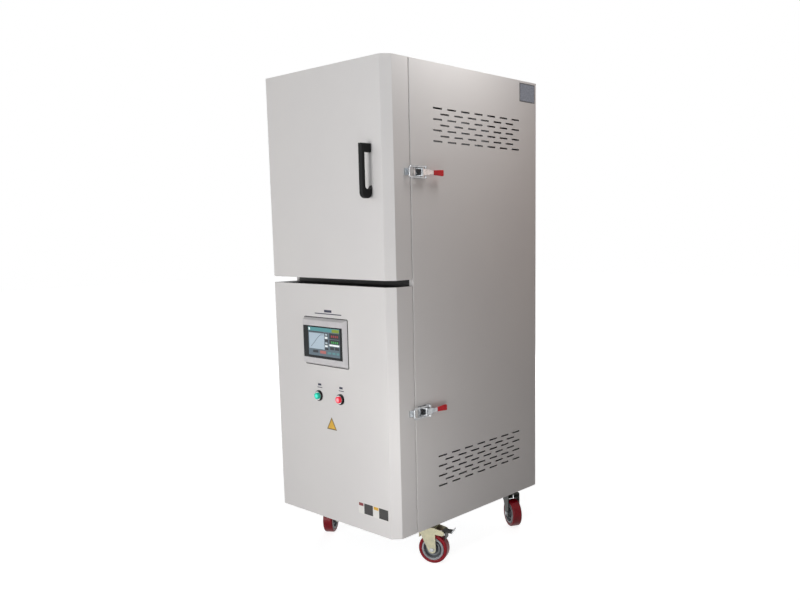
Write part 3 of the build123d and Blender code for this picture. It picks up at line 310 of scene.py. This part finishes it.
def add_slab(shape, face, outline, thickness, bevel=0.0, start=0.0):
    """Adds one flat plate of the given outline to a shape, with its outer edge bevelled."""
    low = [shape.verts.new(face @ Vector((a, b, start))) for a, b in outline]
    high = [shape.verts.new(face @ Vector((a, b, start + thickness))) for a, b in outline]
    cap = shape.faces.new(high)
    shape.faces.new(low[::-1])
    for index in range(len(outline)):
        after = (index + 1) % len(outline)
        shape.faces.new((low[index], low[after], high[after], high[index]))
    if bevel:
        bmesh.ops.bevel(shape, geom=list(cap.edges), offset=bevel, segments=2, affect="EDGES")


def plates(name, body, material, face, outlines, thickness, bevel=0.0, start=0.0):
    """One piece made of flat plates."""
    shape = bmesh.new()
    for outline in outlines:
        add_slab(shape, face, outline, thickness, bevel, start)
    return finish_piece(name, shape, body, material)


def band(name, body, slot, material, face, outer, inner, thickness):
    """A flat ring between two outlines with the same number of points."""
    shape = bmesh.new()
    loops = []
    for rise in (0.0, thickness):
        for outline in (outer, inner):
            loops.append([shape.verts.new(face @ Vector((a, b, rise))) for a, b in outline])
    low_outer, low_inner, high_outer, high_inner = loops
    for first, second in ((low_outer, high_outer), (high_outer, high_inner), (high_inner, low_inner),
                          (low_inner, low_outer)):
        for index in range(len(outer)):
            after = (index + 1) % len(outer)
            shape.faces.new((first[index], first[after], second[after], second[index]))
    return finish_piece(name, shape, body, material)


def screws(name, body, face, places, radius, height, slot="zinc_plated"):
    """Domed screw heads with a hexagonal socket, turned from a profile."""
    rim = ((1.0, 0.0, False), (1.0, 0.3, False), (0.84, 0.74, False), (0.6, 1.0, False))
    profile = rim + ((0.46, 1.0, True), (0.46, 0.4, True))
    segments = 24
    shape = bmesh.new()
    for across, up in places:
        rings = []
        for share, rise, hexagonal in profile:
            ring = []
            for step in range(segments):
                angle = 2 * math.pi * step / segments
                flat = math.cos(math.pi / 6) / math.cos(angle % (math.pi / 3) - math.pi / 6)
                reach = radius * share * (flat if hexagonal else 1.0)
                spot = (across + reach * math.cos(angle), up + reach * math.sin(angle), rise * height)
                ring.append(shape.verts.new(face @ Vector(spot)))
            rings.append(ring)
        for first, second in zip(rings, rings[1:]):
            for step in range(segments):
                after = (step + 1) % segments
                shape.faces.new((first[step], first[after], second[after], second[step]))
        shape.faces.new(rings[0][::-1])
        shape.faces.new(rings[-1])
    return finish_piece(name, shape, body, materials[slot])


def make_camera():
    """The camera at the photograph's place, turned by yaw, pitch and roll."""
    data = bpy.data.cameras.new("camera")
    data.lens = CAMERA_LENS
    data.sensor_width = 36
    data.shift_x, data.shift_y = CAMERA_SHIFT
    camera = bpy.data.objects.new("camera", data)
    bpy.context.scene.collection.objects.link(camera)
    turn = Matrix.Rotation(CAMERA_YAW, 3, "Z") @ Matrix.Rotation(CAMERA_PITCH, 3, "X")
    turn = turn @ Matrix.Rotation(CAMERA_ROLL, 3, "Y")
    look = turn @ Matrix.Rotation(math.pi / 2, 3, "X")
    camera.matrix_world = Matrix.Translation(CAMERA_PLACE) @ look.to_4x4()
    bpy.context.scene.camera = camera


def area_light(name, where, target, size, power, tint=(1, 1, 1)):
    """A square soft light that faces its target."""
    data = bpy.data.lights.new(name, "AREA")
    data.size = size
    data.energy = power
    data.color = tint
    lamp = bpy.data.objects.new(name, data)
    lamp.location = where
    lamp.rotation_euler = (Vector(target) - Vector(where)).to_track_quat("-Z", "Y").to_euler()
    bpy.context.scene.collection.objects.link(lamp)


def seen_rays(tree):
    """1 for rays from the camera, a mirror or a glass, and 0 for those that light the object."""
    path = tree.nodes.new("ShaderNodeLightPath")
    total = tree.nodes.new("ShaderNodeMath")
    total.operation = "ADD"
    both = tree.nodes.new("ShaderNodeMath")
    both.operation = "ADD"
    both.use_clamp = True
    tree.links.new(path.outputs["Is Glossy Ray"], total.inputs[0])
    tree.links.new(path.outputs["Is Transmission Ray"], total.inputs[1])
    tree.links.new(path.outputs["Is Camera Ray"], both.inputs[0])
    tree.links.new(total.outputs[0], both.inputs[1])
    return both.outputs[0]


def make_world(level):
    """A white backdrop to the eye that lights the object at a lower level."""
    world = bpy.data.worlds.new("studio")
    world.use_nodes = True
    bpy.context.scene.world = world
    tree = world.node_tree
    background = tree.nodes["Background"]
    background.inputs["Color"].default_value = (1, 1, 1, 1)
    strength = spread(tree, seen_rays(tree), level, 1.0, 0.0, 1.0)
    tree.links.new(strength, background.inputs["Strength"])


def make_floor():
    """A large pale floor that keeps the object's soft shadow."""
    bpy.ops.mesh.primitive_plane_add(size=30, location=(0, 0, 0))
    floor = bpy.context.object
    floor.name = "floor"
    material, tree, shader = new_material("floor")
    shader.inputs["Base Color"].default_value = (0.5, 0.5, 0.5, 1)
    shader.inputs["Roughness"].default_value = 0.9
    shader.inputs["Specular IOR Level"].default_value = 0.1
    shader.inputs["Emission Color"].default_value = (1, 1, 1, 1)
    distance = node(tree, "ShaderNodeVectorMath")
    distance.operation = "LENGTH"
    tree.links.new(place(tree), distance.inputs[0])
    level = spread(tree, distance.outputs["Value"], 0.84, 0.99, 0.9, 3.0)
    strength = node(tree, "ShaderNodeMath")
    strength.operation = "MULTIPLY"
    tree.links.new(level, strength.inputs[0])
    tree.links.new(seen_rays(tree), strength.inputs[1])
    tree.links.new(strength.outputs[0], shader.inputs["Emission Strength"])
    floor.data.materials.append(material)


def make_lights():
    """A broad lamp before the front, weaker ones at its left and rear, and small ones for the side."""
    area_light("front", (0.2, -3.8, 0.7), (0.0, -0.3, 0.7), 1.3, 60)
    area_light("left", (-1.6, -3.6, 2.6), (0, -0.3, 0.8), 2.4, 24)
    area_light("top_edge", (0.6, -0.1, 1.95), (0.28, 0.0, 1.5), 0.35, 3.6)
    area_light("side_high", (0.8, -1.1, 1.5), (0.28, -0.25, 1.5), 0.7, 1.0, (0.85, 0.93, 1.0))
    area_light("side_middle", (0.8, -0.7, 1.1), (0.28, -0.25, 1.1), 0.7, 0.8)
    area_light("side_low", (0.75, -0.65, 0.35), (0.28, -0.25, 0.35), 0.5, 1.7)
    area_light("rear", (-2.2, 3.4, 1.9), (-0.1, 0.3, 0.8), 2.0, 60)
    area_light("side_warm", (1.2, 0.5, 1.3), (0.28, 0.2, 1.2), 0.6, 0.8, (1.0, 0.55, 0.32))


def dress_panel():
    """A black band round the operator panel as a painted shadow line, and the ribs above and below its glass.
    """
    low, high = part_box("panel_housing")
    middle = (low.x + high.x) / 2
    centre = (low.z + high.z) / 2
    width = high.x - low.x
    height = high.z - low.z
    # The black band round the housing is a painted shadow line at its edge.
    outer_margin, inner_margin, shadow_band_thickness = 0.0035, -0.0005, 0.0014
    outer = rounded(middle, centre, width + outer_margin, height + outer_margin, 0.005)
    inner = rounded(middle, centre, width + inner_margin, height + inner_margin, 0.003)
    band("panel_gasket", "lower_door", "black_plastic", materials["black_plastic"], FRONT_FACE, outer, inner,
         shadow_band_thickness)
    rib_length, rib_width, rib_pitch, first_rib = 0.186, 0.0013, 0.0024, 0.0555
    ribs = []
    for step in range(6):
        for side in (-1, 1):
            rise = side * (first_rib + rib_pitch * step)
            ribs.append(rectangle(middle, centre + rise, rib_length, rib_width))
    plates("panel_ribs", "lower_door", materials["panel_plastic"],
           face_frame((0, low.y, 0), *FRONT_WAYS), ribs, 0.0006, 0.0003)


def screen_point(share_across, share_down):
    """A place on the screen by its shares of the width and height, from the upper left corner."""
    return SCREEN_LEFT + SCREEN_WIDTH * share_across, SCREEN_TOP - SCREEN_HEIGHT * share_down


def screen_part(share_left, share_top, share_right, share_bottom):
    """A rectangle of the screen by the shares of its four sides."""
    across, up = screen_point((share_left + share_right) / 2, (share_top + share_bottom) / 2)
    return rectangle(across, up, SCREEN_WIDTH * (share_right - share_left),
                     SCREEN_HEIGHT * (share_bottom - share_top))


def display_layer(name, shade, strength, outlines, rise):
    """One lit layer of the display, a little above the glass."""
    glass_face = face_frame((0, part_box("panel_glass")[0].y, 0), *FRONT_WAYS)
    lit = glowing(name, colour(*shade), strength)
    plates(name, "lower_door", lit, glass_face, outlines, rise)


def stroke(points, half_width):
    """The outlines of a line drawn from point to point."""
    outlines = []
    for (a, b), (c, d) in zip(points, points[1:]):
        along = Vector((c - a, d - b)).normalized() * half_width
        outlines.append([(a + along.y, b - along.x), (c + along.y, d - along.x),
                         (c - along.y, d + along.x), (a - along.y, b + along.x)])
    return outlines


def dress_display():
    """The lit display: a chart beside plain fields, keys and bars."""
    layers = [
        ("display_ground", (84, 100, 110), [(0, 0, 1, 1)]),
        ("display_chart", (168, 184, 196), [(0.02, 0.2, 0.52, 0.76)]),
        ("display_header", (74, 138, 142), [(0, 0, 1, 0.13)]),
        ("display_status", (122, 140, 36), [(0.76, 0.02, 0.99, 0.13)]),
        ("display_white", (236, 240, 240),
         [(0.015, 0.02, 0.06, 0.11), (0.54, 0.3, 0.62, 0.37), (0.54, 0.6, 0.62, 0.66),
          (0.68, 0.55, 0.99, 0.61)]),
        ("display_dark", (22, 26, 32),
         [(0.02, 0.145, 0.5, 0.165), (0.53, 0.17, 0.64, 0.28), (0.53, 0.39, 0.64, 0.46),
          (0.53, 0.47, 0.64, 0.58), (0.53, 0.69, 0.64, 0.76), (0.68, 0.16, 0.99, 0.36),
          (0.68, 0.38, 0.99, 0.53), (0.7, 0.64, 0.82, 0.74), (0.85, 0.64, 0.98, 0.74),
          (0.14, 0.81, 0.31, 0.9)]),
        ("display_buttons", (168, 96, 92), [(0.37, 0.81, 0.56, 0.91)]),
        ("display_teal", (84, 134, 138),
         [(0.62, 0.83, 0.72, 0.9), (0.77, 0.83, 0.86, 0.9), (0.9, 0.83, 0.98, 0.9)]),
    ]
    for level, (name, shade, shares) in enumerate(layers, 1):
        display_layer(name, shade, 0.28, [screen_part(*share) for share in shares], PRINT * (1 + 0.5 * level))
    topmost = PRINT * 5.5
    bars = [("display_red_bars", (150, 44, 52), 0.23), ("display_green_bars", (52, 150, 70), 0.44)]
    for name, shade, share_top in bars:
        starts = [0.74 + 0.06 * step for step in range(4)]
        outlines = [screen_part(start, share_top, start + 0.035, share_top + 0.07) for start in starts]
        display_layer(name, shade, 0.3, outlines, topmost)
    boxes = [screen_part(0.55, 0.195, 0.62, 0.255), screen_part(0.55, 0.495, 0.62, 0.555)]
    display_layer("display_boxes", (170, 184, 190), 0.28, boxes, topmost)
    curve = [(0.08, 0.7), (0.2, 0.53), (0.31, 0.35), (0.4, 0.25), (0.5, 0.24)]
    points = [screen_point(*shares) for shares in curve]
    display_layer("display_curve", (84, 98, 112), 0.2, stroke(points, 0.0007), topmost)


def dress_bars():
    """Plain dark bars above the operator panel and above each button."""
    ink = surface("ink", colour(30, 32, 60), colour(24, 26, 52), (0.45, 0.55), patch=200)
    heading, line_below = (-0.0075, 0.8245), (-0.008, 0.8155)
    bars = [rectangle(*heading, 0.036, 0.008), rectangle(*line_below, 0.130, 0.003)]
    for cap in ("green_button_cap", "red_button_cap"):
        across = sum(point.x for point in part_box(cap)) / 2
        bars.append(rectangle(across + 0.003, 0.582, 0.016, 0.007))
        bars.append(rectangle(across + 0.004, 0.5725, 0.024, 0.0024))
    plates("printed_bars", "lower_door", ink, FRONT_FACE, bars, PRINT)


def triangle(across, base, apex, half_width):
    """The corners of an upright triangle."""
    return [(across - half_width, base), (across + half_width, base), (across, apex)]


def dress_triangle(amber):
    """A plain amber triangle with a darker rim."""
    rim = surface("amber_rim", colour(120, 98, 44), colour(108, 88, 40), (0.35, 0.45), patch=90)
    across, base, apex = -0.007, 0.4387, 0.480
    plates("blank_triangle_rim", "lower_door", rim, FRONT_FACE,
           [triangle(across, base, apex, 0.0245)], PRINT)
    plates("blank_triangle", "lower_door", amber, FRONT_FACE,
           [triangle(across, base + 0.0035, apex - 0.0065, 0.0185)], 2 * PRINT)


def dress_strip(amber):
    """The strip at the lower door's foot, with blank fields of several colours."""
    white = surface("label_white", colour(232, 230, 226), colour(224, 222, 218), (0.4, 0.5), patch=60)
    dark = surface("label_dark", colour(40, 38, 38), colour(48, 46, 45), (0.4, 0.5), patch=60)
    red = surface("label_red", colour(128, 44, 48), colour(118, 40, 44), (0.4, 0.5), patch=60)
    centre, upper = 0.205, 0.2165
    fields = [
        ("strip_ground", white, [rectangle(0.1795, centre, 0.137, 0.038)], PRINT),
        ("strip_dark_fields", dark,
         [rectangle(0.1575, centre, 0.040, 0.034), rectangle(0.226, centre, 0.041, 0.034)], 2 * PRINT),
        ("strip_red_field", red, [rectangle(0.1235, upper, 0.021, 0.010)], 2 * PRINT),
        ("strip_amber_field", amber, [rectangle(0.192, upper, 0.022, 0.010)], 2 * PRINT),
    ]
    for name, material, outlines, thickness in fields:
        plates(name, "lower_door", material, FRONT_FACE, outlines, thickness)


def dress_door_seal():
    """The rubber seal on the back of the lower door."""
    low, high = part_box("lower_door_pan")
    face = face_frame((0, high.y, 0), *BACK_WAYS)
    centre = (low.z + high.z) / 2
    width, height, seal_width = 0.520, high.z - low.z - 0.03, 0.010
    outer = rounded(0, centre, width, height, 0.02)
    inner = rounded(0, centre, width - 2 * seal_width, height - 2 * seal_width, 0.012)
    band("lower_door_seal", "lower_door", "black_plastic", materials["black_plastic"], face,
         outer, inner, 0.0055)


def dress_lower_door():
    """The plain flat marks on the lower door, and the seal on its back."""
    amber = surface("amber", colour(226, 178, 60), colour(214, 166, 52), (0.35, 0.45), patch=90)
    dress_bars()
    dress_triangle(amber)
    dress_strip(amber)
    dress_door_seal()


def dress_side():
    """The blank rating plate, and painted shade on the edges of the vent slots."""
    metal = surface("plate_metal", colour(134, 136, 144), colour(98, 102, 112), (0.3, 0.45), 0.7,
                    grain=500, patch=220)
    dark = surface("plate_edge", colour(60, 60, 64), colour(70, 70, 74), (0.4, 0.5), patch=60)
    # The slot walls get a near-black painted shade in place of the shade inside the slots.
    cut_edge = surface("cut_edge", colour(30, 29, 28), colour(38, 36, 35), (0.6, 0.7))
    shade_slot_walls("right_side_panel", cut_edge)
    place_on_side, width, height, frame_width = (0.3107, 1.5343), 0.0805, 0.0555, 0.003
    edge = rounded(*place_on_side, width + 2 * frame_width, height + 2 * frame_width, 0.002)
    plates("rating_plate_edge", "cabinet", dark, RIGHT_FACE, [edge], 0.0005, 0.0002)
    plates("rating_plate", "cabinet", metal, RIGHT_FACE,
           [rounded(*place_on_side, width, height, 0.0015)], 0.0008, 0.0002)


def dress_back_and_top():
    """The screws of the rear panel, the top cover and the exhaust tube's flange."""
    rear = face_frame((0, BACK, 0), *BACK_WAYS)
    heights = [0.17 + 0.199 * step for step in range(8)]
    places = [(side * (RIGHT - 0.009), height) for side in (-1, 1) for height in heights]
    screws("rear_screws", "cabinet", rear, places, 0.0042, 0.0022)
    tube_middle = sum(point.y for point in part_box("exhaust_tube")) / 2
    flange_thickness, bolt_circle = 0.003, 0.0305
    flange = face_frame((0, tube_middle, TOP + flange_thickness), *TOP_WAYS)
    angles = [math.pi * (0.25 + 0.5 * step) for step in range(4)]
    places = [(bolt_circle * math.cos(angle), bolt_circle * math.sin(angle)) for angle in angles]
    screws("flange_screws", "cabinet", flange, places, 0.003, 0.0016)
    top = face_frame((0, 0, TOP), *TOP_WAYS)
    corners = [(side * (RIGHT - 0.02), depth) for side in (-1, 1) for depth in (-0.245, 0.047, 0.34)]
    screws("top_screws", "cabinet", top, corners, 0.004, 0.002)


def dress_hinges():
    """Three screws in each half of every hinge leaf."""
    leaf_thickness, leaf_height, screw_offset = 0.003, 0.09, 0.022
    leaf = face_frame((-RIGHT - leaf_thickness, 0, 0), *LEFT_WAYS)
    for door in ("upper", "lower"):
        low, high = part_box(f"{door}_door_hinge_leaves")
        line = -JOINTS[f"{door}_door_hinge"]["pos_m"][1]
        starts = (low.z, high.z - leaf_height)
        heights = [start + step for start in starts for step in (0.015, 0.045, 0.075)]
        halves = (("door", f"{door}_door", line + screw_offset), ("cabinet", "cabinet", line - screw_offset))
        for half, body, column in halves:
            places = [(column, height) for height in heights]
            screws(f"{door}_{half}_hinge_screws", body, leaf, places, 0.0035, 0.0018)


def dress_latches():
    """The screws of the latch bases and of the keepers."""
    foot_thickness = 0.0025
    foot = face_frame((RIGHT + foot_thickness, 0, 0), *RIGHT_WAYS)
    for door in ("upper", "lower"):
        height = sum(point.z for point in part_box(f"{door}_latch_keeper")) / 2
        keeper_places = [(depth, height) for depth in (-0.2922, -0.2818)]
        screws(f"{door}_keeper_screws", f"{door}_door", foot, keeper_places, 0.0021, 0.0012)
        base_places = [(depth, height + side * 0.0135) for depth in (-0.2535, -0.2105) for side in (-1, 1)]
        screws(f"{door}_latch_screws", "cabinet", foot, base_places, 0.0025, 0.0014)


def dress_casters():
    """Bright axle ends, ringed hubs, dark brake plates with a bright tip, and painted shade on the rear
    forks.
    """
    hub_light = surface("hub_light", colour(150, 152, 156), colour(134, 136, 140), (0.35, 0.5), patch=50)
    hub_dark = surface("hub_dark", colour(62, 66, 72), colour(52, 56, 62), (0.4, 0.55), patch=50)
    dark_zinc = surface("dark_zinc", colour(60, 62, 58), colour(48, 48, 46), (0.3, 0.45), 0.8, patch=60)
    axle_end, boss, groove, ring, web = 0.0085, 0.0125, 0.0184, 0.0236, 0.0305
    brake_tip = 0.088
    for name, joint in JOINTS.items():
        if not name.endswith("_wheel_spin"):
            continue
        corner = name.replace("_wheel_spin", "")
        centre = Vector(joint["pos_m"])
        axis = Vector(joint["axis"]).normalized()

        def off_axle(point):
            """How far a point lies from the axle's line."""
            step = point - centre
            return (step - axis * step.dot(axis)).length

        # The rear forks are darkened all over with painted shade.
        if corner.startswith("rear"):
            recolour(f"{corner}_fork", dark_zinc, lambda point: True)
        recolour(f"{corner}_fork", materials["zinc_plated"], lambda point: off_axle(point) < axle_end)
        recolour(f"{corner}_wheel_hub", hub_light, lambda point: off_axle(point) > web)
        recolour(f"{corner}_wheel_hub", hub_dark, lambda point: ring < off_axle(point) <= web)
        recolour(f"{corner}_wheel_hub", hub_dark, lambda point: boss < off_axle(point) < groove)
        if corner.startswith("front"):
            recolour(f"{corner}_brake_pedal", dark_zinc, lambda point: off_axle(point) < brake_tip)


materials = make_materials()
FRONT_FACE = face_frame((0, FRONT, 0), *FRONT_WAYS)
RIGHT_FACE = face_frame((RIGHT, 0, 0), *RIGHT_WAYS)

make_camera()
dress_nodes()
dress_bezels()
dress_panel()
dress_display()
dress_lower_door()
dress_side()
dress_back_and_top()
dress_hinges()
dress_latches()
dress_casters()
make_world(0.03)
make_floor()
make_lights()
bpy.context.scene.view_settings.view_transform = "Standard"
